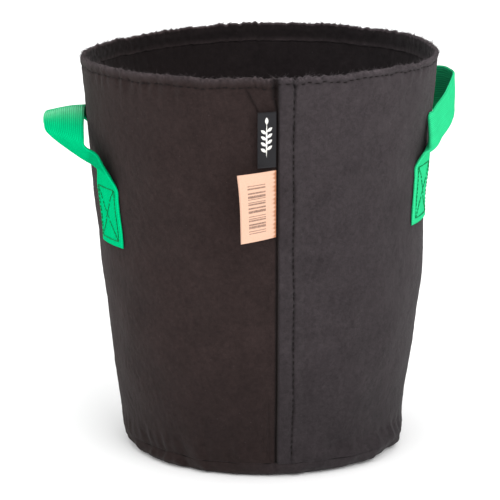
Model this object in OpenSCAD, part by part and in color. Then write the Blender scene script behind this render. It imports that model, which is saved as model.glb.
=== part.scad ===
// Fabric grow bag: a tapered felt pot with two webbing handles and two labels in its side seam.
// Millimetres, +Z up. The origin is the centre of the underside, the side seam faces -Y,
// and the handles are at -X and +X.

/* [Bag body] */
// Outer radius at the rim
top_r = 100; // [90:1:115]
// Outer radius that the straight wall would reach at the floor
base_r = 79; // [72:1:88]
// Height of the bag
bag_h = 224; // [210:1:260]
// Thickness of the felt
felt_t = 1.2; // [1:0.1:3]
// Radius of the turned foot edge
foot_r = 6; // [5:1:12]
// Height of the seam that joins the base panel to the wall
base_seam_z = 8; // [7:0.5:12]
// Height of the seam allowance that stands up inside the foot
allowance_h = 9; // [6:0.5:14]

/* [Hem and side seam] */
// Depth of the turned-in rim hem
hem_d = 10; // [7:0.5:14]
// Angle of the side seam's folded edge round from the front
seam_az = 1.5; // [-5:0.1:5]
// Width of the raised lap
lap_w = 9.5; // [6:0.5:14]
// Height of the raised lap above the wall
lap_t = 1.4; // [0.8:0.1:2]

/* [Handles] */
// Width of the webbing
strap_w = 25; // [20:1:30]
// Thickness of the webbing
strap_t = 1.5; // [1:0.1:2]
// Length of each sewn-down strap end
end_h = 36; // [30:1:44]
// Angle from the bag's side round to the middle of a strap end
end_az = 23.6; // [21:0.1:27]
// Height of the left strap ends' lower edge
left_end_z = 124; // [100:1:140]
// Height of the right strap ends' lower edge
right_end_z = 133; // [100:1:140]

/* [Labels] */
// Width of the black woven label
brand_w = 10; // [8:1:16]
// Height of the black woven label
brand_h = 30; // [20:1:32]
// Height of its middle above the floor
brand_z = 193; // [192:1:196]
// Angle that it stands off the wall
brand_open = 10; // [2:1:45]
// Width of the kraft paper label
paper_w = 25; // [18:1:32]
// Height of the kraft paper label
paper_h = 37; // [26:1:37]
// Height of its middle above the floor
paper_z = 157.5; // [150:0.5:158]
// Angle that it stands off the wall
paper_open = 34; // [5:1:60]

/* [Stitching] */
// Length of one visible stitch
stitch_l = 2.6; // [1.5:0.1:3]
// Distance from one stitch to the next
stitch_pitch = 4; // [3.6:0.1:6]
// Thickness of the thread
thread_t = 0.5; // [0.3:0.1:0.8]
// Depth of the rim stitch line below the edge
rim_line = 7.5; // [5:0.5:10]
// Distance from the lap's folded edge to its stitch line
lap_line = 8; // [5:0.5:9]

/* [Hidden] */
$fn = 96;

felt_colour = [0.16, 0.14, 0.14];
webbing_colour = [0.05, 0.76, 0.46];
kraft_colour = [0.94, 0.79, 0.68];
label_colour = [0.06, 0.06, 0.06];
thread_colour = [0.10, 0.09, 0.09];
green_thread_colour = [0.02, 0.55, 0.32];

// The wall leans out by this much for each millimetre of height
slope = (top_r - base_r) / bag_h;
lean = atan(slope);
function wall_r(z) = base_r + slope * z;
function arc_angle(length, z) = length / wall_r(z) * 180 / PI;

// Small gaps that keep separate pieces separate
piece_gap = 0.1;
thread_gap = 0.02;
label_t = 0.5;
label_lift = 1.5;
groove_w = 1.2;
groove_d = 0.6;
hem_inner_t = felt_t;
seam_len = bag_h - base_seam_z - 2;

// Box stitch on a strap end: its margin inside the end's edges, and its line width
box_margin = 3.2;
box_line = 0.8;

// Handle routes. Each row is a straight line across the webbing: the edge next to the front corner of
// the sewn end, then the other edge. Points are [out from the wall, along the side, above the stitching],
// in millimetres, from the front strap end over the crest to the rear end.
left_route = [
    [[-9, -50, 5.5], [-2, -26.5, 6.5]],
    [[-5, -50, 12.5], [0, -27, 8]],
    [[-1.5, -49, 19], [2, -27, 9.5]],
    [[3.5, -46.5, 22], [5, -27.5, 12]],
    [[5, -44, 23.5], [14, -28, 18.5]],
    [[5, -40, 26], [25, -27.5, 27.5]],
    [[5, -30, 31], [27, -20, 31]],
    [[4.7, -15, 35], [27.5, -10, 32]],
    [[4.5, 0, 36], [27.5, 0, 32]],
    [[4.2, 12, 35], [27, 9, 32]],
    [[3.2, 24, 33], [24.5, 18, 31.5]],
    [[1, 36, 31], [18, 25, 30]],
    [[-3, 44, 27], [9, 28, 27.5]],
    [[-6.5, 48, 21], [2, 29, 22]],
    [[-8.5, 50, 13], [-1, 28, 14]],
    [[-9.5, 50.3, 5.5], [-2, 27, 6]]];
right_route = [
    [[-9, -50.5, 5.5], [-2, -27.5, 6.5]],
    [[-6, -49, 6.5], [-2, -31, 14]],
    [[-3, -47, 7.5], [-4, -38, 25]],
    [[0.5, -42.5, 9.5], [-1.5, -33, 27]],
    [[4.5, -36, 13.5], [2, -27, 30]],
    [[9.5, -26, 16.5], [7.5, -19, 34.5]],
    [[14, -13, 18], [12, -9.5, 39]],
    [[17, 0, 18], [15.5, 0, 43]],
    [[16, 12, 19.5], [15.5, 12, 43.5]],
    [[12.5, 24, 21], [13.5, 22, 44]],
    [[7, 34, 21], [9.5, 31, 43]],
    [[1.5, 42, 18.5], [4, 37, 38]],
    [[-3, 46.5, 15], [-0.5, 38, 29]],
    [[-6.5, 49, 10], [-2, 34, 17]],
    [[-9, 50.3, 5.5], [-2, 28, 6.5]]];
steps_per_row = 3;
points_across = 4;

// ---------- placing things on the wall ----------

// Local X runs round the bag, -Y points straight out of the wall and Z runs up its slope
module on_wall(azimuth, z) {
    rotate([0, 0, azimuth]) translate([0, -wall_r(z), z]) rotate([lean, 0, 0]) children();
}

// A conical skin over the wall, between two distances out from it
module wall_skin(from, to) {
    rotate_extrude() polygon([[base_r + from, 0], [base_r + to, 0], [top_r + to, bag_h], [top_r + from, bag_h]]);
}

// ---------- felt ----------

// Half section of the full bag shape, set in by a distance
module bag_section(inset, top) {
    corner_r = foot_r - inset;
    corner_z = inset + corner_r;
    corner_x = base_r - inset + slope * corner_z - corner_r / cos(lean);
    translate([corner_x, corner_z]) circle(corner_r);
    polygon([[0, inset], [corner_x, inset],
        [corner_x + corner_r * cos(lean), corner_z - corner_r * sin(lean)],
        [wall_r(top) - inset, top], [0, top]]);
}

module felt_section() {
    difference() {
        bag_section(0, bag_h - felt_t);
        bag_section(felt_t, bag_h + 1);
    }
}

// The turned-in hem: the inner layer, and the round fold along the top
module hem_section() {
    fold_z = bag_h - felt_t;
    fold_x = wall_r(fold_z) - felt_t;
    low_z = bag_h - hem_d;
    translate([fold_x, fold_z]) circle(felt_t);
    polygon([[wall_r(low_z) - felt_t - hem_inner_t, low_z], [wall_r(low_z) - felt_t / 2, low_z],
        [fold_x + felt_t, fold_z], [fold_x - felt_t, fold_z]]);
}

// The wall's seam allowance, turned up inside the foot
module allowance_section() {
    low_z = base_seam_z + piece_gap;
    high_z = base_seam_z + allowance_h;
    polygon([[wall_r(low_z) - 2 * felt_t, low_z], [wall_r(low_z) - felt_t / 2, low_z],
        [wall_r(high_z) - felt_t / 2, high_z], [wall_r(high_z) - 2 * felt_t, high_z]]);
}

module side_wall() {
    color(felt_colour) difference() {
        union() {
            rotate_extrude() {
                difference() {
                    felt_section();
                    square([top_r, base_seam_z + piece_gap]);
                }
                hem_section();
                allowance_section();
            }
            intersection() {
                wall_skin(-felt_t / 2, lap_t);
                on_wall(seam_az, base_seam_z + 1 + seam_len / 2)
                    translate([lap_w / 2, 0, 0]) cube([lap_w, 3 * felt_t, seam_len], center = true);
            }
        }
        on_wall(seam_az, bag_h / 2) translate([-groove_w / 2, 0, 0])
            cube([groove_w, 2 * groove_d, 2 * bag_h], center = true);
    }
}

// The base panel turns up at its edge to meet the wall
module base_panel() {
    color(felt_colour) rotate_extrude() intersection() {
        felt_section();
        square([top_r, base_seam_z]);
    }
}

// ---------- handles ----------

// One strap end, lying on the wall
module strap_end(side_az, low_z) {
    color(webbing_colour) intersection() {
        wall_skin(piece_gap, piece_gap + strap_t);
        on_wall(side_az, low_z + end_h / 2) cube([strap_w, 8 * strap_t, end_h], center = true);
    }
}

// The box-and-cross stitch that holds a strap end
module box_stitch(side_az, low_z) {
    box_w = strap_w - 2 * box_margin;
    box_h = end_h - 2 * box_margin;
    on_strap = piece_gap + strap_t + thread_gap;
    color(green_thread_colour) intersection() {
        wall_skin(on_strap, on_strap + thread_t);
        on_wall(side_az, low_z + end_h / 2) rotate([90, 0, 0])
            linear_extrude(8 * strap_t, center = true) {
                difference() {
                    square([box_w + box_line, box_h + box_line], center = true);
                    square([box_w - box_line, box_h - box_line], center = true);
                }
                for (turn = [-1, 1]) rotate(turn * atan(box_w / box_h))
                    square([box_line, norm([box_w, box_h])], center = true);
            }
    }
}

// A point on a smooth curve between b and c
function between(a, b, c, d, t) =
    0.5 * (2 * b + (c - a) * t + (2 * a - 5 * b + 4 * c - d) * t * t + (3 * b - a - 3 * c + d) * t * t * t);
function row_at(route, i) = route[max(0, min(len(route) - 1, i))];
function smooth_row(route, i, t) = [for (k = [0, 1])
    between(row_at(route, i - 1)[k], row_at(route, i)[k], row_at(route, i + 1)[k], row_at(route, i + 2)[k], t)];
// A point a share u of the way across a row
function across(row, u) = (1 - u) * row[0] + u * row[1];
function unit(v) = v / norm(v);

// A band of webbing along a route of rows
module webbing(route) {
    rows = (len(route) - 1) * steps_per_row + 1;
    cols = points_across;
    grid = [for (i = [0 : rows - 1]) let (k = min(floor(i / steps_per_row), len(route) - 2))
        let (row = smooth_row(route, k, i / steps_per_row - k)) [for (j = [0 : cols - 1]) across(row, j / (cols - 1))]];
    function facing(i, j) = unit(cross(grid[min(i + 1, rows - 1)][j] - grid[max(i - 1, 0)][j],
        grid[i][min(j + 1, cols - 1)] - grid[i][max(j - 1, 0)]));
    sheet = rows * cols;
    points = [for (s = [0.5, -0.5]) for (i = [0 : rows - 1]) for (j = [0 : cols - 1])
        grid[i][j] + s * strap_t * facing(i, j)];
    function at(i, j, face) = face * sheet + i * cols + j;
    function quad(a, b, c, d) = [[a, b, c], [a, c, d]];
    faces = [
        for (i = [0 : rows - 2]) for (j = [0 : cols - 2]) for (f = concat(
            quad(at(i, j, 0), at(i, j + 1, 0), at(i + 1, j + 1, 0), at(i + 1, j, 0)),
            quad(at(i, j, 1), at(i + 1, j, 1), at(i + 1, j + 1, 1), at(i, j + 1, 1)))) f,
        for (i = [0 : rows - 2]) for (f = concat(
            quad(at(i, 0, 0), at(i + 1, 0, 0), at(i + 1, 0, 1), at(i, 0, 1)),
            quad(at(i, cols - 1, 0), at(i, cols - 1, 1), at(i + 1, cols - 1, 1), at(i + 1, cols - 1, 0)))) f,
        for (j = [0 : cols - 2]) for (f = concat(
            quad(at(0, j, 0), at(0, j, 1), at(0, j + 1, 1), at(0, j + 1, 0)),
            quad(at(rows - 1, j, 0), at(rows - 1, j + 1, 0), at(rows - 1, j + 1, 1), at(rows - 1, j, 1)))) f];
    color(webbing_colour) polyhedron(points, faces);
}

// A handle's loop, on the +X side or mirrored to the -X side
module strap_loop(route, low_z, to_left) {
    stitch_top = low_z + end_h - 2;
    mirror([to_left ? 1 : 0, 0, 0]) translate([wall_r(stitch_top), 0, stitch_top]) webbing(route);
}

module left_strap_front_end() { strap_end(-90 + end_az, left_end_z); }
module left_strap_rear_end() { strap_end(-90 - end_az, left_end_z); }
module right_strap_front_end() { strap_end(90 - end_az, right_end_z); }
module right_strap_rear_end() { strap_end(90 + end_az, right_end_z); }
module left_strap_loop() { strap_loop(left_route, left_end_z, true); }
module right_strap_loop() { strap_loop(right_route, right_end_z, false); }
module left_front_end_thread() { box_stitch(-90 + end_az, left_end_z); }
module left_rear_end_thread() { box_stitch(-90 - end_az, left_end_z); }
module right_front_end_thread() { box_stitch(90 - end_az, right_end_z); }
module right_rear_end_thread() { box_stitch(90 + end_az, right_end_z); }

// ---------- labels ----------

// A flat label that leaves the seam toward -X and stands off the wall by an angle
module seam_label(w, h, z, open, tint) {
    color(tint) on_wall(seam_az, z) translate([-groove_w / 2, -label_lift, 0]) rotate([0, 0, open])
        translate([-w, -label_t / 2, -h / 2]) cube([w, label_t, h]);
}

module woven_label() { seam_label(brand_w, brand_h, brand_z, brand_open, label_colour); }
module paper_label() { seam_label(paper_w, paper_h, paper_z, paper_open, kraft_colour); }

// ---------- seam threads ----------

module stitch(size) {
    translate([0, -thread_gap - thread_t / 2, 0]) cube(size, center = true);
}

// The rim's round of stitches at one height, lifted over the lap where it crosses it
module rim_stitches(z) {
    count = floor(2 * PI * wall_r(z) / stitch_pitch);
    lap_from = seam_az - arc_angle(groove_w + stitch_l, z);
    lap_to = seam_az + arc_angle(lap_w + stitch_l, z);
    color(thread_colour) for (i = [0 : count - 1]) {
        azimuth = lap_to + i * 360 / count;
        if (azimuth < lap_from + 360) on_wall(azimuth, z) stitch([stitch_l, thread_t, thread_t]);
    }
    color(thread_colour) on_wall(seam_az, z) translate([lap_w / 2, -lap_t, 0]) stitch([stitch_l, thread_t, thread_t]);
}

module rim_thread() { rim_stitches(bag_h - rim_line); }

// The base seam is sewn from inside, through the allowance that stands up there
module base_seam_thread() {
    z = base_seam_z + allowance_h / 2;
    count = floor(2 * PI * (wall_r(z) - 2 * felt_t) / stitch_pitch);
    color(thread_colour) for (i = [0 : count - 1]) on_wall(i * 360 / count, z)
        translate([0, 2 * felt_t + 4 * thread_gap + thread_t, 0]) stitch([stitch_l, thread_t, thread_t]);
}

module side_seam_thread() {
    low = base_seam_z + foot_r + stitch_pitch;
    high = bag_h - rim_line - stitch_pitch;
    count = floor((high - low) / stitch_pitch);
    color(thread_colour) for (i = [0 : count]) on_wall(seam_az, low + i * stitch_pitch)
        translate([lap_line, -lap_t, 0]) stitch([thread_t, thread_t, stitch_l]);
}

side_wall();
base_panel();
left_strap_front_end();
left_strap_loop();
left_strap_rear_end();
right_strap_front_end();
right_strap_loop();
right_strap_rear_end();
woven_label();
paper_label();
rim_thread();
side_seam_thread();
base_seam_thread();
left_front_end_thread();
left_rear_end_thread();
right_front_end_thread();
right_rear_end_thread();
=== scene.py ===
import math

import bpy
import numpy as np
from mathutils import Matrix, Vector


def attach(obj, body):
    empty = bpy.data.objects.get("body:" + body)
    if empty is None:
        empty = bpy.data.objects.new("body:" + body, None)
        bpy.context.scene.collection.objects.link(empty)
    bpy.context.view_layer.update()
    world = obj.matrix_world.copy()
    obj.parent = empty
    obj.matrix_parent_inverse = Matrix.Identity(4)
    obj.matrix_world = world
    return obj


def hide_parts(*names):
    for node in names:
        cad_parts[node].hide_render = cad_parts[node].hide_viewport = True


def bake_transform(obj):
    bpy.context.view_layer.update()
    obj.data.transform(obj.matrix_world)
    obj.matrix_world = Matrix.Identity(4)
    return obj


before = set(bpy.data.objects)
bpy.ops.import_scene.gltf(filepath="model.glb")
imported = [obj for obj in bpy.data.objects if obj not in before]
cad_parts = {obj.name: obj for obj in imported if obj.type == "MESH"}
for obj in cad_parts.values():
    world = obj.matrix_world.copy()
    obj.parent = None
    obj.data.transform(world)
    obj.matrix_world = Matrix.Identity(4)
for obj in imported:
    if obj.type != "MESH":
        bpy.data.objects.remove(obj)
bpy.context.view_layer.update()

SCENE = bpy.context.scene

# Fabric grow bag: a felt wall and base, two webbing handles, two labels and all their stitches.
# Shapes are worked out in millimetres. Azimuths are in degrees from the front (-Y) towards +X.

# ---------------------------------------------------------------- sizes
# in millimetres, as in part.scad, but the paper label is 0.4 mm higher here
MM = 0.001
TOP_R, BASE_R, BAG_H = 100.0, 79.0, 224.0
FELT_T, FOOT_R, SEAM_Z, ALLOWANCE_H = 1.2, 6.0, 8.0, 9.0
HEM_D, RIM_LINE = 10.0, 7.5
SEAM_AZ, LAP_T, LAP_LINE = 1.5, 1.4, 8.0
STRAP_W, STRAP_T, END_H, END_AZ = 25.0, 1.5, 36.0, 23.6
LEFT_Z, RIGHT_Z = 124.0, 133.0
BOX_MARGIN, SEWN_GAP = 3.2, 0.1
LOOP_FROM = END_H - 2.0  # height above a sewn end's lower edge at which the loop begins
PAPER_W, PAPER_H, PAPER_Z, PAPER_OPEN = 25.0, 37.0, 157.9, 34.0
WOVEN_W, WOVEN_H, WOVEN_Z, WOVEN_OPEN = 10.0, 30.0, 193.0, 10.0
SLOPE = (TOP_R - BASE_R) / BAG_H
LEAN = math.atan(SLOPE)
PI = math.pi
WRAP = 360.0

# sizes of the visible detail, in millimetres, and the number of fibres along the rim
RIM_LINE_LEFT, RIM_LINE_RIGHT = 5.1, 3.5
RING_PITCH, RING_STITCH, RING_THREAD_R = 4.0, 2.7, 0.32
SIDE_PITCH, SIDE_STITCH, SIDE_THREAD_R = 3.6, 2.5, 0.33
BOX_PITCH, BOX_THREAD_R = 2.3, 0.33
LABEL_GAP, LABEL_SHIFT = 1.5, -1.4  # how far the labels' corners are out from the wall and right of the seam
PAPER_T, WOVEN_T = 0.3, 0.5
BARS_FROM, BARS_TO = 7.4, 19.4  # the bars' stretch of the paper label, measured from the seam
LIFTED_TOP = 26.0  # the wall's top stretch, over which the rim's waves fade out
TUFTS = 1700


def wall_r(z):
    return BASE_R + SLOPE * z


def smooth(lo, hi, x):
    t = np.clip((x - lo) / (hi - lo), 0.0, 1.0)
    return t * t * (3 - 2 * t)


def bump_at(x, centre, width):
    return np.exp(-(((x - centre) / width) ** 2))


def turn_from(centre, az):
    """The turn from one azimuth to others, between -180 and 180 degrees."""
    return (np.asarray(az, float) - centre + WRAP / 2) % WRAP - WRAP / 2


def outward(az):
    a = np.radians(az)
    return np.stack([np.sin(a), -np.cos(a), 0 * a], -1)


def around(az):
    a = np.radians(az)
    return np.stack([np.cos(a), np.sin(a), 0 * a], -1)


def cone_point(az, z, r):
    a = np.radians(az)
    return np.stack([r * np.sin(a), -r * np.cos(a), z + 0 * a], -1)


def waves(p, size, seed, count=40):
    """A smooth random field over points p, of about +-1, with features about size mm across."""
    rng = np.random.default_rng(seed)
    k = rng.normal(size=(count, 3))
    k *= (2 * PI / size * rng.uniform(0.6, 1.5, count) / np.linalg.norm(k, axis=1))[:, None]
    phase = rng.uniform(0, 2 * PI, count)
    flat = p.reshape(-1, 3)
    return (np.cos(flat @ k.T + phase).sum(1) * math.sqrt(2.0 / count)).reshape(p.shape[:-1])


# ---------------------------------------------------------------- meshes
def new_object(name, verts_mm, faces, materials, face_materials=None, uvs=None, attributes=None):
    mesh = bpy.data.meshes.new(name)
    verts = np.asarray(verts_mm, float).reshape(-1, 3) * MM
    mesh.from_pydata(verts.tolist(), [], faces)
    mesh.update()
    for m in materials:
        mesh.materials.append(m)
    if face_materials is not None:
        mesh.polygons.foreach_set("material_index", np.asarray(face_materials, np.int32))
    if uvs is not None:
        layer = mesh.uv_layers.new(name="UVMap")
        loops = np.zeros(len(mesh.loops), np.int32)
        mesh.loops.foreach_get("vertex_index", loops)
        layer.data.foreach_set("uv", (np.asarray(uvs, float).reshape(-1, 2)[loops] * MM).ravel())
    for key, values in (attributes or {}).items():
        a = mesh.attributes.new(key, "FLOAT", "POINT")
        a.data.foreach_set("value", np.asarray(values, np.float32).ravel())
    mesh.polygons.foreach_set("use_smooth", np.ones(len(mesh.polygons), bool))
    mesh.update()
    obj = bpy.data.objects.new(name, mesh)
    SCENE.collection.objects.link(obj)
    return obj


def grid_faces(rows, cols, wrap_rows=False, wrap_cols=False, first=0, flip=False):
    i, j = np.meshgrid(np.arange(rows if wrap_rows else rows - 1),
                       np.arange(cols if wrap_cols else cols - 1), indexing="ij")
    i2, j2 = (i + 1) % rows, (j + 1) % cols
    q = np.stack([i * cols + j, i * cols + j2, i2 * cols + j2, i2 * cols + j], -1).reshape(-1, 4) + first
    if flip:
        q = q[:, ::-1]
    return q.tolist()


# ---------------------------------------------------------------- node materials
class Nodes:
    """A small helper that builds a material's nodes."""

    def __init__(self, name):
        self.mat = bpy.data.materials.new(name)
        self.mat.use_nodes = True
        self.tree = self.mat.node_tree
        self.bsdf = self.tree.nodes["Principled BSDF"]

    def add(self, kind, **settings):
        n = self.tree.nodes.new(kind)
        for key, value in settings.items():
            setattr(n, key, value)
        return n

    def put(self, socket, value):
        if isinstance(value, bpy.types.NodeSocket):
            self.tree.links.new(value, socket)
        elif value is not None:
            socket.default_value = value

    def math(self, op, a, b=None, c=None):
        n = self.add("ShaderNodeMath", operation=op)
        for s, v in zip(n.inputs, (a, b, c)):
            self.put(s, v)
        return n.outputs[0]

    def coords(self, what="Object"):
        return self.add("ShaderNodeTexCoord").outputs[what]

    def scaled(self, vector, scale):
        n = self.add("ShaderNodeVectorMath", operation="MULTIPLY")
        self.put(n.inputs[0], vector)
        self.put(n.inputs[1], scale)
        return n.outputs[0]

    def noise(self, vector, scale, detail=2.0, rough=0.5, distortion=0.0):
        n = self.add("ShaderNodeTexNoise")
        self.put(n.inputs["Vector"], vector)
        self.put(n.inputs["Scale"], scale)
        self.put(n.inputs["Detail"], detail)
        self.put(n.inputs["Roughness"], rough)
        self.put(n.inputs["Distortion"], distortion)
        return n.outputs["Fac"]

    def cells(self, vector, scale):
        n = self.add("ShaderNodeTexVoronoi")
        self.put(n.inputs["Vector"], vector)
        self.put(n.inputs["Scale"], scale)
        return n.outputs["Distance"], n.outputs["Color"]

    def channel(self, color):
        """The first channel of a colour, as a value."""
        n = self.add("ShaderNodeSeparateColor")
        self.put(n.inputs[0], color)
        return n.outputs[0]

    def across_along(self, uv):
        n = self.add("ShaderNodeSeparateXYZ")
        self.put(n.inputs[0], uv)
        return n.outputs[0], n.outputs[1]

    def ribs(self, count):
        """Rounded ribs, one for each whole number that count passes."""
        return self.math("ABSOLUTE", self.math("SINE", self.math("MULTIPLY", count, PI)))

    def times(self, *values):
        product = values[0]
        for value in values[1:]:
            product = self.math("MULTIPLY", product, value)
        return product

    def shaded(self, color, amount):
        """A colour multiplied by a value."""
        n = self.add("ShaderNodeVectorMath", operation="SCALE")
        self.put(n.inputs[0], color)
        self.put(n.inputs["Scale"], amount)
        return n.outputs[0]

    def fit(self, value, lo, hi, to_lo=0.0, to_hi=1.0):
        n = self.add("ShaderNodeMapRange")
        for s, v in zip(n.inputs, (value, lo, hi, to_lo, to_hi)):
            self.put(s, v)
        return n.outputs[0]

    def mix(self, fac, a, b):
        n = self.add("ShaderNodeMix", data_type="RGBA")
        self.put(n.inputs[0], fac)
        for s, v in zip((n.inputs[6], n.inputs[7]), (a, b)):
            self.put(s, (*v, 1) if isinstance(v, tuple) and len(v) == 3 else v)
        return n.outputs[2]

    def attribute(self, name):
        return self.add("ShaderNodeAttribute", attribute_name=name).outputs["Fac"]

    def bump(self, height, strength, distance, onto=None):
        n = self.add("ShaderNodeBump")
        self.put(n.inputs["Height"], height)
        self.put(n.inputs["Strength"], strength)
        self.put(n.inputs["Distance"], distance)
        if onto is not None:
            self.put(n.inputs["Normal"], onto)
        return n.outputs[0]

    def finish(self, color, roughness, normal=None, **fixed):
        self.put(self.bsdf.inputs["Base Color"], (*color, 1) if isinstance(color, tuple) else color)
        self.put(self.bsdf.inputs["Roughness"], roughness)
        if normal is not None:
            self.put(self.bsdf.inputs["Normal"], normal)
        for key, value in fixed.items():
            self.bsdf.inputs[key.replace("_", " ")].default_value = value
        return self.mat


def srgb(r, g, b):
    """A colour given as 0-255 screen values, as the linear values that shaders take."""
    return tuple(((c / 255 + 0.055) / 1.055) ** 2.4 if c > 10.31 else c / 255 / 12.92 for c in (r, g, b))


def felt_material():
    n = Nodes("needle_felt")
    p = n.coords()
    broad = n.noise(p, 45.0, 3.0, 0.55)
    blotch = n.noise(n.scaled(p, (1.0, 1.0, 0.7)), 150.0, 4.0, 0.6, 0.8)
    mottle = n.noise(p, 420.0, 4.0, 0.65, 0.6)
    fibre = n.noise(n.scaled(p, (1.0, 1.0, 1.35)), 1900.0, 3.0, 0.7, 1.2)
    # a pale loose fibre in about one cell of ten
    from_centre, cell_color = n.cells(p, 330.0)
    speck = n.times(n.fit(from_centre, 0.10, 0.02), n.fit(n.channel(cell_color), 0.88, 0.92))
    # brown to grey across the panels, the grey partly painted light where the light falls on the right; the
    # shade attribute multiplies in painted light and shade
    base = n.mix(n.attribute("tone_and_light"), srgb(41, 32, 31), srgb(49, 44, 46))
    amount = n.times(n.fit(broad, 0.25, 0.75, 0.88, 1.12), n.fit(mottle, 0.2, 0.8, 0.70, 1.30),
                     n.fit(fibre, 0.2, 0.8, 0.60, 1.40), n.fit(blotch, 0.25, 0.75, 0.87, 1.13),
                     n.attribute("shade"))
    color = n.mix(n.times(speck, 0.4), n.shaded(base, amount), srgb(104, 95, 95))
    b = n.bump(blotch, 0.25, 0.0005)
    b = n.bump(mottle, 0.5, 0.0005, b)
    b = n.bump(fibre, 0.75, 0.00025, b)
    return n.finish(color, n.fit(fibre, 0.2, 0.8, 0.86, 0.98), b, Sheen_Weight=0.05, Sheen_Roughness=0.5,
                    Specular_IOR_Level=0.06)


def webbing_material():
    n = Nodes("green_webbing")
    uv = n.coords("UV")
    across, along = n.across_along(uv)
    warp, weft = 0.00125, 0.0014
    lane = n.math("DIVIDE", across, warp)
    odd = n.math("MODULO", n.math("FLOOR", lane), 2.0)
    step = n.math("ADD", n.math("DIVIDE", along, weft), n.times(odd, 0.5))
    weave = n.times(n.ribs(lane), n.math("MULTIPLY_ADD", n.ribs(step), 0.4, 0.6))
    streak = n.noise(n.scaled(uv, (1.0, 0.03, 1.0)), 900.0, 3.0, 0.6)
    patchy = n.noise(uv, 110.0, 2.0, 0.5)
    amount = n.times(n.fit(weave, 0.0, 1.0, 0.62, 1.10), n.fit(streak, 0.3, 0.7, 0.90, 1.08),
                     n.fit(patchy, 0.3, 0.7, 0.96, 1.04), n.attribute("shade"))
    # the shade attribute is painted light and shade, and the pale green mixed in is a painted sheen
    base = n.mix(n.attribute("painted_sheen"), srgb(2, 192, 124), srgb(132, 226, 174))
    return n.finish(n.shaded(base, amount), n.fit(weave, 0.0, 1.0, 0.75, 0.6), n.bump(weave, 0.7, 0.0003),
                    Specular_IOR_Level=0.0)


def thread_material(name, colour):
    n = Nodes(name)
    fibre = n.noise(n.coords(), 2600.0, 2.0, 0.6)
    color = n.shaded(colour, n.fit(fibre, 0.25, 0.75, 0.75, 1.2))
    return n.finish(color, 0.7, n.bump(fibre, 0.5, 0.0001), Specular_IOR_Level=0.08)


def paper_material(name, inked):
    """Kraft paper. The shade attribute marks its brown torn edge."""
    n = Nodes(name)
    p = n.coords()
    cloud = n.noise(p, 160.0, 3.0, 0.6)
    pulp = n.noise(n.scaled(p, (1.0, 1.0, 3.0)), 1400.0, 4.0, 0.7, 0.8)
    base = n.mix(n.fit(pulp, 0.35, 0.75), srgb(216, 178, 156), srgb(200, 158, 134))
    base = n.mix(n.fit(cloud, 0.3, 0.7, 0.0, 0.35), base, srgb(214, 168, 144))
    base = n.mix(n.attribute("shade"), base, srgb(150, 92, 56))
    if inked:
        wear = n.fit(n.noise(p, 900.0, 3.0, 0.7), 0.35, 0.65, 0.5, 0.85)
        base = n.mix(wear, base, srgb(84, 66, 58))
    return n.finish(base, n.fit(pulp, 0.3, 0.7, 0.72, 0.88), n.bump(pulp, 0.25, 0.0001),
                    Specular_IOR_Level=0.3)


def satin_material():
    n = Nodes("black_satin")
    across, along = n.across_along(n.coords("UV"))
    warp, weft = 0.0003, 0.00035
    yarn = n.ribs(n.math("DIVIDE", along, weft))
    weave = n.math("MULTIPLY_ADD", n.ribs(n.math("DIVIDE", across, warp)), 0.3, n.times(yarn, 0.7))
    color = n.shaded(srgb(22, 21, 24), n.fit(weave, 0.0, 1.0, 0.6, 1.3))
    return n.finish(color, n.fit(weave, 0.0, 1.0, 0.6, 0.42), n.bump(weave, 0.5, 0.0001),
                    Sheen_Weight=0.04, Sheen_Roughness=0.3, Specular_IOR_Level=0.2)


def motif_material():
    n = Nodes("offwhite_yarn")
    p = n.coords()
    fibre = n.noise(n.scaled(p, (1.0, 1.0, 4.0)), 2200.0, 2.0, 0.6)
    color = n.mix(fibre, srgb(205, 203, 198), srgb(238, 236, 230))
    return n.finish(color, 0.55, n.bump(fibre, 0.5, 0.0001), Sheen_Weight=0.2, Sheen_Roughness=0.4)


FELT = felt_material()
WEBBING = webbing_material()
FELT_THREAD = thread_material("dark_thread", srgb(26, 22, 22))
WEBBING_THREAD = thread_material("green_thread", srgb(3, 118, 68))
KRAFT = paper_material("kraft_paper", False)
KRAFT_INK = paper_material("kraft_ink", True)
SATIN = satin_material()
MOTIF = motif_material()

# ---------------------------------------------------------------- the felt wall
def seam_mm(az, z):
    """Distance round the wall from the lap's folded edge, in mm, positive to the right."""
    return turn_from(SEAM_AZ, az) * PI / 180.0 * wall_r(z)


def panel_tone_and_light(az):
    """The felt's tone: from grey (1) right of the seam, round the back, to brown (0) left of it. The grey is
    partly painted light: the right side is made greyer and lighter where the light falls on it.
    """
    return 1 - smooth(0.12, 0.92, (az - SEAM_AZ) % WRAP / WRAP)


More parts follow.
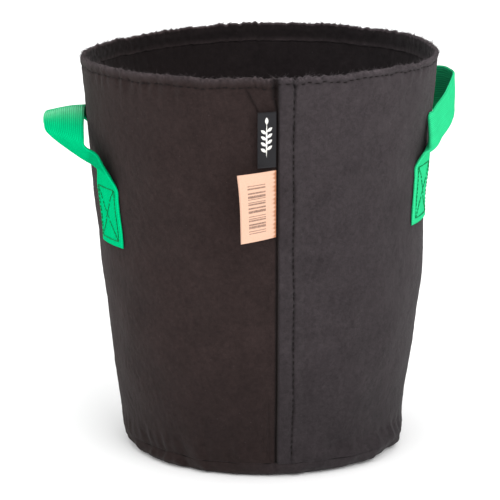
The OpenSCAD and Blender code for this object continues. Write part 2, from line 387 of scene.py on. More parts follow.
def wall_out(az, z, fine=True):
    """How far the wall's outer face stands out from the plain cone, in mm."""
    az, z = np.broadcast_arrays(np.asarray(az, float), np.asarray(z, float))
    p = cone_point(az, z, wall_r(z))
    s = seam_mm(az, z)
    d = 0.45 * waves(p, 95.0, 11) + 0.22 * waves(p, 32.0, 12)
    # fuller below the middle, and behind the left handle
    d += 2.3 * smooth(6, 62, z) * (1 - smooth(95, 150, z))
    d += 2.2 * bump_at(turn_from(-100.0, az), 0.0, 23.0) * bump_at(z, 150.0, 32.0)
    d += foot_lump(az, z)
    if not fine:
        return d
    # the lap: a folded edge, a flat band held down by its stitching, then a soft fall
    band = smooth(-0.2, 0.5, s) * (1 - smooth(LAP_LINE + 0.5, LAP_LINE + 6.5, s))
    d = d + LAP_T * band
    crease = bump_at(s + 0.3 * np.sin(z * 0.11), LAP_LINE, 0.9) * smooth(10, 14, z)
    d -= (0.6 + 0.25 * waves(p, 9.0, 15)) * crease
    d += 0.3 * waves(p * np.array([1, 1, 1.6]), 8.0, 16) * bump_at(s, LAP_LINE, 3.5)
    # the dark slot along the folded edge, wider near the rim
    top_gape = slot_gape(z)
    d -= (1.3 + 0.9 * smooth(206, 216, z)) * bump_at(s, -0.55 * top_gape, 0.75 * top_gape)
    d -= 1.1 * bump_at(s, LAP_LINE + 0.4, 0.8) * smooth(211, 219, z)
    d -= 0.35 * bump_at(s, -3.0, 2.6)
    # hem stitching and its puckers
    rim_z = BAG_H - rim_line(az)
    ring = rim_ring(az)
    pucker = waves(ring, 7.5, 21) * (0.55 + 0.25 * waves(ring, 60.0, 22))
    d -= 0.55 * bump_at(z, rim_z, 0.9)
    d += 0.35 * pucker * bump_at(z, rim_z - 1.0, 5.0)
    d += 0.3 * bump_at(z, rim_z + 2.2, 1.6)
    # the foot seam pulls in, with puckers of its own
    foot = waves(ring, 11.0, 23)
    d -= (0.15 + 0.12 * foot) * bump_at(z, SEAM_Z, 1.3)
    d += 0.5 * foot * bump_at(z, SEAM_Z + 5.0, 6.0) + 0.5 * waves(ring, 34.0, 24) * bump_at(z, 4.0, 10.0)
    # creases left of the lap near the floor, and one running down to the label
    d -= 0.7 * bump_at(s + 0.02 * (z - 20), -4.5, 0.8) * (1 - smooth(40, 62, z)) * smooth(8, 16, z)
    d -= 0.5 * bump_at(s - 0.03 * (z - 20), -8.0, 1.1) * (1 - smooth(34, 55, z)) * smooth(8, 16, z)
    d -= 1.0 * slant_crease(s, z)
    # felt lumps
    d += 0.04 * waves(p, 7.0, 13) + 0.04 * waves(p, 3.2, 14, 60)
    return d


def slot_gape(z):
    """How many times wider the slot beside the lap is than low on the wall."""
    return 1 + 1.5 * smooth(206, 216, z)


def slant_crease(s, z):
    """The crease that runs down from the hem to the black label, from 0 to 1."""
    return bump_at(s + 18.0 - (220.0 - z) * 0.55, 0.0, 0.9) * smooth(198, 203, z) * (1 - smooth(216, 220, z))


def foot_lump(az, z):
    """The foot's fuller corner at the front right and flatter one at the front left, in mm."""
    right = bump_at(turn_from(47.0, az), 0.0, 27.0)
    left = bump_at(turn_from(-46.0, az), 0.0, 24.0)
    return (5.2 * right - 1.2 * left) * (1 - smooth(7.0, 17.0, z))


def rim_ring(az):
    """Points on one ring, on which the waves that run round the rim and the foot are taken."""
    return cone_point(az, 0 * np.asarray(az, float) + 100.0, 100.0)


def rim_line(az):
    """Depth of the hem stitching below the rim: lower on the left of the seam than on its right."""
    past_seam = (np.asarray(az, float) - SEAM_AZ) % WRAP
    return RIM_LINE_RIGHT + (RIM_LINE_LEFT - RIM_LINE_RIGHT) * smooth(90.0, 300.0, past_seam)


def rim_lift(az):
    """How far the rim's top stands above its mean height, in mm."""
    az = np.asarray(az, float)
    ring = rim_ring(az)
    lap = seam_mm(az, BAG_H)
    lift = 0.5 - 2.6 * bump_at(lap, LAP_LINE + 0.5, 1.3) - 0.9 * bump_at(lap, -0.8, 1.2)
    hills = ((160.0, 1.9, 38.0), (0.0, 1.0, 60.0), (240.0, -1.2, 30.0), (100.0, 1.3, 24.0))
    for centre, height, width in hills:
        lift = lift + height * bump_at(turn_from(centre, az), 0.0, width)
    return (lift + 0.35 * waves(ring, 45.0, 31) + 0.13 * waves(ring, 9.0, 32) + 0.13 * waves(ring, 4.5, 33)
            + 0.24 * waves(ring, 2.4, 34, 60))


def azimuths():
    """Columns round the wall, close together beside the seam."""
    fine_from, fine_to = -7.0, 11.0
    fine = np.arange(fine_from, fine_to, 0.17)
    coarse = np.linspace(fine_to, WRAP + fine_from, 620, endpoint=False)
    return np.concatenate([fine, coarse])


def wall_rows():
    """The wall's profile, up its outer face and down its inner one, hem and seam allowance included.

    Each row: height, set-in from the outer face, share of the outer detail, shade: painted shade below 1 and
    painted highlight above 1.
    """
    low_zs, high_zs = np.linspace(9.2, 205, 170), np.linspace(205.8, BAG_H - FELT_T, 22)
    rows = [(z, 0.0, 1.0, 1.0) for z in np.concatenate([[8.06, 8.5], low_zs, high_zs])]
    # round the rim's fold, with a slight painted highlight on top
    for t in np.linspace(0, PI, 11)[1:-1]:
        rows.append((BAG_H - FELT_T + FELT_T * math.sin(t), FELT_T * (1 - math.cos(t)), 1.0, 1.1))
    hem_low = BAG_H - HEM_D
    # down the inner hem, in painted shade, with a painted highlight along its lower edge
    for z in np.linspace(BAG_H - FELT_T, hem_low + 0.8, 9):
        rows.append((z, 2 * FELT_T, 0.6, 0.34 + 0.45 * bump_at(z, hem_low + 0.8, 1.0)))
    # the hem's lower edge in painted highlight, then painted shade in the gap under it
    rows += [(hem_low + 0.2, 2 * FELT_T - 0.15, 0.6, 1.3), (hem_low - 0.1, 2 * FELT_T - 0.5, 0.6, 1.2),
             (hem_low - 0.1, FELT_T + 0.3, 0.6, 0.7), (hem_low - 0.7, FELT_T + 0.05, 0.6, 0.6)]
    top_in = SEAM_Z + ALLOWANCE_H
    # down the inner face, in painted shade
    for z in np.linspace(hem_low - 1.8, top_in + 1.5, 90):
        rows.append((z, FELT_T, 0.6, 0.42))
    # the seam allowance inside the foot, in painted shade
    rows += [(top_in + 0.3, FELT_T + 0.05, 0.6, 0.45), (top_in, FELT_T + 0.4, 0.6, 0.5),
             (top_in - 0.3, 2 * FELT_T - 0.2, 0.6, 0.5), (top_in - 1.2, 2 * FELT_T, 0.6, 0.5)]
    for z in np.linspace(top_in - 2.5, SEAM_Z + 0.4, 6):
        rows.append((z, 2 * FELT_T, 0.6, 0.5))
    rows.append((SEAM_Z + 0.2, FELT_T, 1.0, 0.5))
    return np.array(rows)


def build_wall():
    az = azimuths()
    r = wall_rows()
    Z, A = np.meshgrid(r[:, 0], az, indexing="ij")
    inset, share, shade = r[:, 1:2], r[:, 2:3], r[:, 3:4]
    lift = rim_lift(A) * smooth(BAG_H - LIFTED_TOP, BAG_H, Z)
    face_z = np.minimum(Z, BAG_H - FELT_T)
    outer = wall_out(A, face_z)
    plain = wall_out(A, face_z, fine=False)
    stand_out = np.where(inset > 0.01, plain + (outer - plain) * (share * 0.6), outer)
    P = cone_point(A, Z + lift, wall_r(face_z) + stand_out - inset)
    inside = np.where(inset > FELT_T * 0.9, 0.12, 0.0)
    P = P + (inside * waves(P, 5.0, 41))[..., None] * outward(A)
    # greyer and lighter all along the rim's top
    tone_and_light = np.maximum(panel_tone_and_light(A), 0.6 * smooth(BAG_H - 4.5, BAG_H - 0.5, Z) * (inset < 2))
    s = seam_mm(A, Z)
    gape = slot_gape(Z)
    outside = inset < 0.1
    sh = np.broadcast_to(shade, Z.shape).copy()
    # painted shade in the slot beside the lap's folded edge, and along the crease of its stitching
    sh *= 1 - 0.6 * bump_at(s, -0.6 * gape, 0.9 * gape) * outside
    sh *= 1 - 0.32 * bump_at(s + 0.3 * np.sin(Z * 0.11), LAP_LINE, 0.8) * outside
    # a painted highlight along the rim's top, speckled like loose fibres catching the light
    sh *= 1 + 0.32 * bump_at(Z, BAG_H - 0.3, 1.6) * (1 + 0.9 * waves(P, 2.0, 44, 60))
    # painted shade in the groove of the hem stitching and in the slant crease
    sh *= 1 - 0.22 * bump_at(Z, BAG_H - rim_line(A), 0.8) * outside
    sh *= 1 - 0.3 * slant_crease(s, Z) * outside
    # painted shade towards the foot, and painted light on the upper wall of the grey side
    sh *= 1 - 0.26 * (1 - smooth(4, 95, Z)) + 0.14 * tone_and_light * smooth(130.0, 215.0, Z)
    tufts, tuft_faces, tuft_az = rim_tufts(P.size // 3)
    faces = grid_faces(*Z.shape, wrap_rows=True, wrap_cols=True, flip=True)
    verts = np.vstack([P.reshape(-1, 3), tufts])
    mean_r = 90.0
    uv = np.stack([np.broadcast_to(A * PI / 180 * mean_r, Z.shape), Z], -1).reshape(-1, 2)
    uv = np.vstack([uv, tufts[:, :2]])
    # the rim's fibres are greyer, and lighter by a painted highlight
    tone_and_light = np.append(tone_and_light.ravel(), np.maximum(panel_tone_and_light(tuft_az), 0.8))
    sh = np.append(sh.ravel(), np.full(tuft_az.shape, 1.9))
    return new_object("felt_wall", verts, faces + tuft_faces, [FELT], uvs=uv,
                      attributes={"tone_and_light": tone_and_light, "shade": sh})


def rim_tufts(first, count=TUFTS, rings=5, sides=3):
    """Short curly fibres standing out of the rim: points, faces and each point's azimuth."""
    rng = np.random.default_rng(71)
    az = rng.uniform(0, WRAP, count)
    across = rng.uniform(-1, 1, count)
    z = BAG_H - FELT_T
    height = z + rim_lift(az) + FELT_T * np.sqrt(1 - across ** 2) - 0.1
    root = cone_point(az, height, wall_r(z) + wall_out(az, z) - FELT_T + across * FELT_T * 0.95)
    run = around(az) * rng.choice([-1.0, 1.0], count)[:, None]
    start = run * rng.uniform(0.4, 1.0, count)[:, None] + outward(az) * (across * 0.7)[:, None]
    start[:, 2] += rng.uniform(0.15, 0.8, count)
    start /= np.linalg.norm(start, axis=1, keepdims=True)
    length = rng.uniform(0.8, 2.3, count)[:, None]
    bend = rng.normal(0, 0.45, (count, 3))
    side = np.cross(start, [0.3, 0.2, 1.0])
    side /= np.linalg.norm(side, axis=1, keepdims=True)
    over = np.cross(start, side)
    root_r, tip_r = 0.10, 0.04
    points = []
    for i in range(rings):
        t = i / (rings - 1)
        centre = root + length * (start * t + bend * t * t)
        radius = root_r + (tip_r - root_r) * t
        for k in range(sides):
            turn = 2 * PI * k / sides
            points.append(centre + radius * (math.cos(turn) * side + math.sin(turn) * over))
    points = np.stack(points, 1)
    faces = []
    for base in range(first, first + count * rings * sides, rings * sides):
        for i in range(rings - 1):
            low = base + i * sides
            faces += [[low + k, low + (k + 1) % sides, low + sides + (k + 1) % sides, low + sides + k]
                      for k in range(sides)]
        faces.append([base + k for k in range(sides)][::-1])
        faces.append([base + (rings - 1) * sides + k for k in range(sides)])
    return points.reshape(-1, 3), faces, np.repeat(az, rings * sides)


def build_base():
    """The base panel: a disc whose edge turns up to the wall."""
    az = np.linspace(0, WRAP, 420, endpoint=False)
    corner_z = FOOT_R
    corner_x = BASE_R + SLOPE * corner_z - FOOT_R / math.cos(LEAN)
    centre_r = 2.0
    profile = [(centre_r, 0.0)]
    profile += [(x, 0.0) for x in np.linspace(5, corner_x - 1.0, 34)]
    for t in np.linspace(0, PI / 2 - LEAN, 14):
        profile.append((corner_x + FOOT_R * math.sin(t), corner_z - FOOT_R * math.cos(t)))
    profile += [(wall_r(z), z) for z in (6.2, 6.9, 7.5)]
    profile += [(wall_r(SEAM_Z) - 0.06, SEAM_Z - 0.01), (wall_r(SEAM_Z) - FELT_T + 0.2, SEAM_Z - 0.01)]
    outer_rows = len(profile) - 1
    profile += [(wall_r(z) - FELT_T, z) for z in (7.6, 6.6)]
    inner = FOOT_R - FELT_T
    for t in np.linspace(PI / 2 - LEAN, 0, 9):
        profile.append((corner_x + inner * math.sin(t), corner_z - inner * math.cos(t)))
    profile += [(x, FELT_T) for x in np.linspace(corner_x - 2, 5, 24)]
    profile.append((centre_r, FELT_T))
    profile = np.array(profile)
    R, A = np.meshgrid(profile[:, 0], az, indexing="ij")
    Z = np.broadcast_to(profile[:, 1:], R.shape).copy()
    ring = rim_ring(A)
    foot = waves(ring, 11.0, 23)
    P = cone_point(A, Z, R)
    edge = smooth(corner_x - 2, corner_x + 8, R)
    outer = (np.arange(len(profile)) < outer_rows)[:, None]
    P[..., 2] += np.where(outer, 1, 0.7) * smooth(20, 60, R) * smooth(0.3, 2.0, Z) * (0.25 * foot)
    # the turned-up edge follows the wall at the seam, and ripples under it
    lump = foot_lump(A, 0 * A)
    pull = (wall_out(A, 0 * A + SEAM_Z + 0.2) - lump) * smooth(2.0, SEAM_Z, Z) + lump
    pull += (0.9 * waves(ring, 20.0, 27) + 0.4 * waves(ring, 8.0, 28)) * (1 - smooth(3.0, SEAM_Z, Z))
    pull += 0.25 * foot * bump_at(Z, 4.5, 2.5)
    P += outward(A) * (pull * edge)[..., None]
    # the middle of the underside and floor isn't quite flat, and never goes below the floor
    dish = 0.35 * np.abs(waves(P, 40.0, 51)) * smooth(0, 20, corner_x - R)
    P[..., 2] += np.where(Z < 1.0, dish, dish + 0.3 * waves(P, 30.0, 52) * smooth(0, 12, corner_x - R))
    P[..., 2] = np.maximum(P[..., 2], 0.0)
    rows, cols = R.shape
    verts = P.reshape(-1, 3)
    faces = grid_faces(rows, cols, wrap_cols=True)
    # close the small hole in the middle, below and above
    centre = len(verts)
    verts = np.vstack([verts, [[0, 0, verts[:cols, 2].mean()], [0, 0, verts[-cols:, 2].mean()]]])
    last_row = (rows - 1) * cols
    for j in range(cols):
        k = (j + 1) % cols
        faces.append([centre, k, j])
        faces.append([centre + 1, last_row + j, last_row + k])
    # greyer towards +X, partly painted light as on the wall; painted shade on the foot and the underside,
    # deeper on the inner face and faintly along the seam
    tone_and_light = np.append(smooth(-30.0, 30.0, P[..., 0]).ravel(), [0.5, 0.5])
    shade = np.append((np.where(outer, 0.80, 0.5) - 0.06 * bump_at(Z, SEAM_Z, 0.6)).ravel(), [0.8, 0.5])
    uv = np.vstack([P[..., :2].reshape(-1, 2), [[0, 0], [0, 0]]])
    return new_object("felt_base", verts, faces, [FELT], uvs=uv, attributes={"tone_and_light": tone_and_light, "shade": shade})


# ---------------------------------------------------------------- straps
# Rulings across the webbing, from its edge at the front corner of the sewn end to its other edge:
# [out from the wall, along the side, above the stitching], from the front end over the crest to the rear end.
LEFT_ROUTE = [
    [[-9, -50.3, 5.5], [-2, -27, 6.5]],
    [[-5, -50, 12.5], [-0.5, -28, 8.5]],
    [[-1.5, -49, 19], [1.5, -28, 10]],
    [[3.5, -46.5, 22], [5, -27.5, 12]],
    [[5, -44, 23.5], [14, -28, 18.5]],
    [[5, -40, 26], [25, -27.5, 27.5]],
    [[5, -30, 31], [27, -20, 31]],
    [[4.7, -15, 35], [27.5, -10, 32]],
    [[4.5, 0, 36], [27.5, 0, 32]],
    [[4.2, 12, 35], [27, 9, 32]],
    [[3.2, 24, 33], [24.5, 18, 31.5]],
    [[1, 36, 31], [18, 25, 30]],
    [[-3, 44, 27], [9, 28, 27.5]],
    [[-6.5, 48, 21], [2, 29, 22]],
    [[-8.5, 50, 13], [-1, 28, 14]],
    [[-9.5, 50.3, 5.5], [-2, 27, 6]]]
RIGHT_ROUTE = [
    [[-9, -50.5, 5.5], [-2, -27.5, 6.5]],
    [[-6, -49, 6.5], [-2, -31, 14]],
    [[-3, -47, 7.5], [-4, -38, 26]],
    [[0.5, -42.5, 9.5], [-1.5, -33, 27]],
    [[4, -36, 13], [2, -27, 30]],
    [[9, -26, 16], [7.5, -19, 34.5]],
    [[13, -13, 18.5], [12, -9.5, 39]],
    [[15.5, 0, 21], [15.5, 0, 43]],
    [[15, 12, 19.5], [15.5, 12, 43]],
    [[12, 24, 17.5], [13.5, 22, 43]],
    [[7, 34, 15], [9.5, 31, 41.5]],
    [[1.5, 42, 13.5], [4, 37, 36]],
    [[-3, 46.5, 11.5], [-0.5, 38, 27]],
    [[-6.5, 49, 8.5], [-2, 34, 16]],
    [[-9, 50.3, 5.5], [-2, 28, 6.5]]]


def on_wall_rows(side, az, to_centre, low_z, top):
    """Rows of a sewn end, from its edge away from the handle's middle to its edge near it.

    They are built at +X but follow the wall of their own side.
    """
    rows = []
    for z in np.linspace(low_z, top - 1.0, 7):
        half = math.degrees(STRAP_W / 2 / wall_r(z))
        row = []
        for s in (-1, 0, 1):
            a = az + to_centre * s * half
            stand_out = float(wall_out(np.array([side * a]), np.array([z]), fine=False)[0])
            row.append(cone_point(np.array(a), np.array(z), wall_r(z) + stand_out + SEWN_GAP + STRAP_T / 2))
        rows.append(np.array(row))
    return rows


def strap_rows(side, route, low_z):
    """Rows [first edge, middle, other edge] of a strap at +X, from the front end to the rear end."""
    top = low_z + LOOP_FROM
    front = on_wall_rows(side, 90 - END_AZ, 1, low_z, top)
    rear = on_wall_rows(side, 90 + END_AZ, -1, low_z, top)[::-1]
    anchor = np.array([wall_r(top), 0, top])
    crown_height = 1.2 if side < 0 else 0.4
    loop = []
    for i, (first, second) in enumerate(np.array(route, float)):
        # the webbing is a little rounded across at the crest
        dx, dz = second[0] - first[0], second[2] - first[2]
        crown = np.array([-dz, 0, dx]) / STRAP_W * (1 if dx > 0 else -1) * crown_height
        middle = (first + second) / 2 + crown * bump_at(i, len(route) / 2, 2.6)
        loop.append(np.array([first, middle, second]) + anchor)
    return np.array(front + loop + rear)


def spline(rows, spacing=0.9):
    """A Catmull-Rom curve through rows, resampled evenly along the middle: its rows and their distances."""
    pad = np.concatenate([[2 * rows[0] - rows[1]], rows, [2 * rows[-1] - rows[-2]]])
    out = []
    for i in range(1, len(pad) - 2):
        a, b, c, d = pad[i - 1:i + 3]
        square, cube = 2 * a - 5 * b + 4 * c - d, 3 * b - a - 3 * c + d
        for t in np.linspace(0, 1, 24, endpoint=False):
            out.append(0.5 * (2 * b + (c - a) * t + square * t * t + cube * t ** 3))
    out.append(pad[-2])
    out = np.array(out)
    seg = np.linalg.norm(np.diff(out.mean(1), axis=0), axis=1)
    length = np.concatenate([[0], np.cumsum(seg)])
    want = np.linspace(0, length[-1], int(length[-1] / spacing))
    flat = out.reshape(len(out), -1)
    even = np.stack([np.interp(want, length, flat[:, k]) for k in range(flat.shape[1])], -1)
    return even.reshape(-1, 3, 3), want


def strap_surface(side, route, low_z, cols=27):
    """The strap's middle surface, its normals, the rows' distances along it and the columns' across it."""
    rows, along = spline(strap_rows(side, route, low_z))
    if side < 0:
        rows = rows * np.array([-1, 1, 1])
    u = np.linspace(0, 1, cols)
    weights = np.stack([(1 - u) * (1 - 2 * u), 4 * u * (1 - u), u * (2 * u - 1)])
    mid = np.einsum("ku,nkd->nud", weights, rows)
    normal = np.cross(np.gradient(mid, axis=0), np.gradient(mid, axis=1))
    normal /= np.linalg.norm(normal, axis=2, keepdims=True)
    # on the sewn end the normals point away from the bag
    out = mid[len(mid) // 8, cols // 2] * np.array([1, 1, 0])
    if (normal[len(mid) // 20, cols // 2] @ out) < 0:
        normal = -normal
    return mid, normal, along, u


def build_strap(name, side, route, low_z):
    mid, normal, along, u = strap_surface(side, route, low_z)
    rows, cols = mid.shape[:2]
    # thin at the selvedges, with a low ridge beside them, and thin at the cut ends
    from_middle = np.abs(2 * u - 1)
    edge = np.clip((from_middle - 0.93) / 0.07, 0, 1)
    half_t = STRAP_T / 2 * np.sqrt(1 - 0.96 * edge * edge) * (1 + 0.10 * bump_at(from_middle, 0.88, 0.07))
    from_end = np.minimum(along, along[-1] - along)
    end = np.clip(from_end / 0.9, 0, 1)
    thick = half_t[None, :] * (0.25 + 0.75 * np.sqrt(1 - (1 - end) ** 2))[:, None]
    thick = (thick + 0.05 * waves(mid, 9.0, 61))[..., None]
    ring = np.concatenate([mid + normal * thick, (mid - normal * thick)[:, ::-1]], axis=1)
    ring_cols = ring.shape[1]
    faces = grid_faces(rows, ring_cols, wrap_cols=True)
    faces.append(list(range(ring_cols))[::-1])
    faces.append([(rows - 1) * ring_cols + j for j in range(ring_cols)])
    across = np.concatenate([u, u[::-1] + 1.08]) * STRAP_W
    uv = np.stack(np.meshgrid(along, across, indexing="ij")[::-1], -1)
    shade, painted_sheen = strap_painted_light(side, along, cols)
    return new_object(name, ring, faces, [WEBBING], uvs=uv, attributes={"shade": shade, "painted_sheen": painted_sheen})


def strap_painted_light(side, along, cols):
    """Painted shade and painted sheen on a strap: its outer face in the first cols columns, then its inner
    face.
    """
    # the right strap is painted lighter, and paler with a painted sheen, where the light falls
    shade = np.full((len(along), 2 * cols), 0.97 if side < 0 else 1.1)
    painted_sheen = np.full(shade.shape, 0.0 if side < 0 else 0.12)
    past_end = np.minimum(along, along[-1] - along) - END_H
    if side < 0:
        # painted shade beyond the front bend and on the inner face, and a pale painted sheen on the crest
        front = along - END_H
        shade[:, :cols] *= (1 - 0.24 * smooth(5.0, 9.0, front) * (1 - smooth(16.0, 20.0, front)))[:, None]
        shade[:, cols:] *= 0.6
        painted_sheen[:, :cols] = 0.62 * bump_at(along - along[-1] / 2, -2.0, 12.0)[:, None]
    else:
        # painted shade on the outer face beyond the fold, inside the loop
        shade[:, :cols] *= (1 - 0.15 * smooth(12.0, 22.0, past_end))[:, None]
    return shade, painted_sheen


# ---------------------------------------------------------------- stitches
def stitch_row(name, stitches, radius, material):
    """One object of short sunk stitches. Each is (centre, direction, length, up): a round-ended thread."""
    verts, faces = [], []
    sides, rings = 8, 7
    for centre, run, length, up in stitches:
        run = run / np.linalg.norm(run)
        up = up - run * (up @ run)
        up /= np.linalg.norm(up)
        across = np.cross(run, up)
        first = len(verts)
        for i in range(rings):
            t = i / (rings - 1) * 2 - 1
            arch = math.sqrt(max(0.0, 1 - t * t))
            r = radius * (0.35 + 0.65 * arch ** 0.7)
            middle = centre + run * (t * length / 2) + up * (radius * 0.9 * (arch - 0.75))
            for k in range(sides):
                turn = 2 * PI * k / sides
                verts.append(middle + r * (math.cos(turn) * across + math.sin(turn) * up))
        faces += grid_faces(rings, sides, wrap_cols=True, first=first)
        faces.append([first + k for k in range(sides)][::-1])
        faces.append([first + (rings - 1) * sides + k for k in range(sides)])
    return new_object(name, np.array(verts), faces, [material])


def wall_stitches(points, length, along_up):
    """Stitches on the wall's outer face at (azimuth, height) points, running up it or round it."""
    stitches = []
    for az, z in points:
        r = wall_r(z) + float(wall_out(np.array([az]), np.array([z]))[0])
        lift = float(rim_lift(np.array([az]))[0]) * float(smooth(BAG_H - LIFTED_TOP, BAG_H, z))
        out = outward(az)
        rise = out * math.sin(LEAN) + np.array([0, 0, math.cos(LEAN)])
        centre = cone_point(np.array(az), np.array(z + lift), r + 0.05)
        stitches.append((centre, rise if along_up else around(az), length, out))
    return stitches


def build_rim_stitches():
    count = int(2 * PI * wall_r(BAG_H - RIM_LINE) / RING_PITCH)
    turns = [SEAM_AZ + 5.0 + i * WRAP / count for i in range(count)]
    points = [(az, BAG_H - float(rim_line(az)) + 0.25 * math.sin(i * 0.7)) for i, az in enumerate(turns)]
    stitches = wall_stitches(points, RING_STITCH, False)
    return stitch_row("rim_stitches", stitches, RING_THREAD_R, FELT_THREAD)


def build_side_stitches():
    zs = np.arange(14.0, BAG_H - RIM_LINE - 3.5, SIDE_PITCH)
    points = [(SEAM_AZ + math.degrees(LAP_LINE / wall_r(z)) + 0.05 * math.sin(z * 0.13), z) for z in zs]
    stitches = wall_stitches(points, SIDE_STITCH, True)
    return stitch_row("side_seam_stitches", stitches, SIDE_THREAD_R, FELT_THREAD)


def build_base_stitches():
    """The row inside the foot, on the seam allowance."""
    z = SEAM_Z + ALLOWANCE_H / 2
    r = wall_r(z) - 2 * FELT_T
    count = int(2 * PI * r / RING_PITCH)
    stitches = []
    for i in range(count):
        az = i * WRAP / count
        stand_out = float(wall_out(np.array([az]), np.array([z]), fine=False)[0]) * 0.8
        centre = cone_point(np.array(az), np.array(z), r + stand_out - 0.05)
        stitches.append((centre, around(az), RING_STITCH, -outward(az)))
    return stitch_row("base_seam_stitches", stitches, RING_THREAD_R, FELT_THREAD)


def build_box_stitches(name, side, route, low_z, rear):
    """The box and cross that hold one strap end."""
    last_col = 50
    mid, normal, along, _ = strap_surface(side, route, low_z, cols=last_col + 1)
    if rear:
        mid, normal = mid[::-1], normal[::-1]
        along = along[-1] - along[::-1]

    def at(x, y):
        i = int(np.argmin(np.abs(along - y)))
        j = int(round(x / STRAP_W * last_col))
        return mid[i, j], normal[i, j]

    # the box's corners: the strap's first and last rows and edges, set in by the margin
    low, high_x, high_y = BOX_MARGIN, STRAP_W - BOX_MARGIN, END_H - BOX_MARGIN
    a, b, c, d = (low, low), (high_x, low), (high_x, high_y), (low, high_y)
    stitches = []
    for (x0, y0), (x1, y1) in ((a, b), (b, c), (c, d), (d, a), (a, c), (b, d)):
        count = max(3, int(round(math.hypot(x1 - x0, y1 - y0) / BOX_PITCH)))
        for i in range(count):
            start, end = i / count + 0.02 / count, (i + 1) / count - 0.08 / count
            p, p_normal = at(x0 + (x1 - x0) * start, y0 + (y1 - y0) * start)
            q, q_normal = at(x0 + (x1 - x0) * end, y0 + (y1 - y0) * end)
            up = (p_normal + q_normal) / 2
            centre = (p + q) / 2 + up * (STRAP_T / 2 + 0.12)
            stitches.append((centre, q - p, float(np.linalg.norm(q - p)), up))
    return stitch_row(name, stitches, BOX_THREAD_R, WEBBING_THREAD)


# ---------------------------------------------------------------- labels
def label_frame(z, open_deg):
    """A label's corner on the seam at height z, and its directions: along it, up it and out of its face."""
    right, out_flat = around(SEAM_AZ), outward(SEAM_AZ)
    up = out_flat * math.sin(LEAN) + np.array([0, 0, math.cos(LEAN)])
    out = out_flat * math.cos(LEAN) - np.array([0, 0, math.sin(LEAN)])
    origin = out_flat * wall_r(z) + np.array([0, 0, z]) + right * LABEL_SHIFT + out * LABEL_GAP
    t = math.radians(open_deg)
    return origin, -right * math.cos(t) + out * math.sin(t), up, right * math.sin(t) + out * math.cos(t)


def label_grid(z, open_deg, us, vs, curl, sag=0.0, rise=0.0):
    """Points of a label: us run from the seam to the free edge, vs from its lower to its upper edge."""
    origin, away, up, face = label_frame(z, open_deg)
    U, V = np.meshgrid(us, vs, indexing="ij")
    run = U * (1 + sag * V / vs[-1])
    height = V * (1 + 0.02 * rise * U / us[-1]) + rise * U / us[-1]
    return origin + run[..., None] * away + height[..., None] * up + curl(U, V)[..., None] * face, face


def slab(name, P, face, thick, materials, face_materials, us, vs, shade):
    """A closed sheet of the given thickness about the grid of points P."""
    n, m = P.shape[:2]
    verts = np.concatenate([(P + face * thick / 2).reshape(-1, 3), (P - face * thick / 2).reshape(-1, 3)])
    faces = grid_faces(n, m, flip=True) + grid_faces(n, m, first=n * m)
    border = [i * m for i in range(n - 1)] + [(n - 1) * m + j for j in range(m - 1)]
    border += [i * m + m - 1 for i in range(n - 1, 0, -1)] + list(range(m - 1, 0, -1))
    for a, b in zip(border, border[1:] + border[:1]):
        faces.append([a, b, b + n * m, a + n * m])
    # the pattern is on the outer face alone
    slots = list(face_materials.ravel())
    slots += [0] * (len(faces) - len(slots))
    uv = np.concatenate([np.stack(np.meshgrid(us, vs, indexing="ij"), -1).reshape(-1, 2)] * 2)
    return new_object(name, verts, faces, materials, face_materials=slots, uvs=uv,
                      attributes={"shade": np.concatenate([shade.ravel(), shade.ravel()])})


def bar_edges():
    """Edges of a plain made-up bar pattern: widths repeat by a formula and mean nothing."""
    length = 27.0
    edges, v, k = [], 0.0, 0
    while v < length:
        bar = 0.45 * (1 + (k * 7 + 3) % 5 % 3)
        gap = 0.4 * (1 + (k * 5 + 1) % 7 % 4)
        edges.append((v - 14.0, v + bar - 14.0))
        v += bar + gap
        k += 1
    return edges


def build_paper():
    bars = bar_edges()
    half = PAPER_H / 2
    vs = set(np.round(np.linspace(-half, half, 120), 4)) | {round(x, 4) for edges in bars for x in edges}
    vs = np.array(sorted(vs))
    torn = {0.4, 0.8, 1.6}  # extra columns beside the seam, for the torn edge
    us = np.array(sorted(set(np.round(np.linspace(0, PAPER_W, 22), 4)) | torn | {BARS_FROM, BARS_TO}))

    def curl(U, V):
        t = U / PAPER_W
        bow = 0.5 * np.sin(t * PI) + 0.9 * t ** 3 * np.cos(V / PAPER_H * PI)
        return bow + 0.3 * np.sin(V / 9.0) * t ** 2

    P, face = label_grid(PAPER_Z, PAPER_OPEN, us, vs, curl, sag=0.06, rise=1.6)
    middle_u, middle_v = (us[:-1] + us[1:]) / 2, (vs[:-1] + vs[1:]) / 2
    on_bar = np.array([any(low < v < high for low, high in bars) for v in middle_v])
    printed = (BARS_FROM < middle_u) & (middle_u < BARS_TO)
    inked = (printed[:, None] & on_bar[None, :]).astype(int)
    U, V = np.meshgrid(us, vs, indexing="ij")
    torn_width = 1.0 + 0.5 * np.sin(V * 2 * PI / 2.3) + 0.25 * np.sin(V * 0.9)
    shade = 0.95 * bump_at(U, 0.4, torn_width)
    return slab("kraft_label", P, face, PAPER_T, [KRAFT, KRAFT_INK], inked, us, vs, shade)


def woven_curl(U, V):
    """How far the black label stands out of its plane."""
    return 0.35 * np.sin(U / WOVEN_W * PI) + 0.12 * np.sin(V / 6.0)


def build_woven():
    us, vs = np.linspace(0, WOVEN_W, 16), np.linspace(-WOVEN_H / 2, WOVEN_H / 2, 40)
    P, face = label_grid(WOVEN_Z, WOVEN_OPEN, us, vs, woven_curl)
    plain = np.zeros((len(us) - 1, len(vs) - 1), int)
    return slab("woven_label_cloth", P, face, WOVEN_T, [SATIN], plain, us, vs, np.ones(P.shape[:2]))


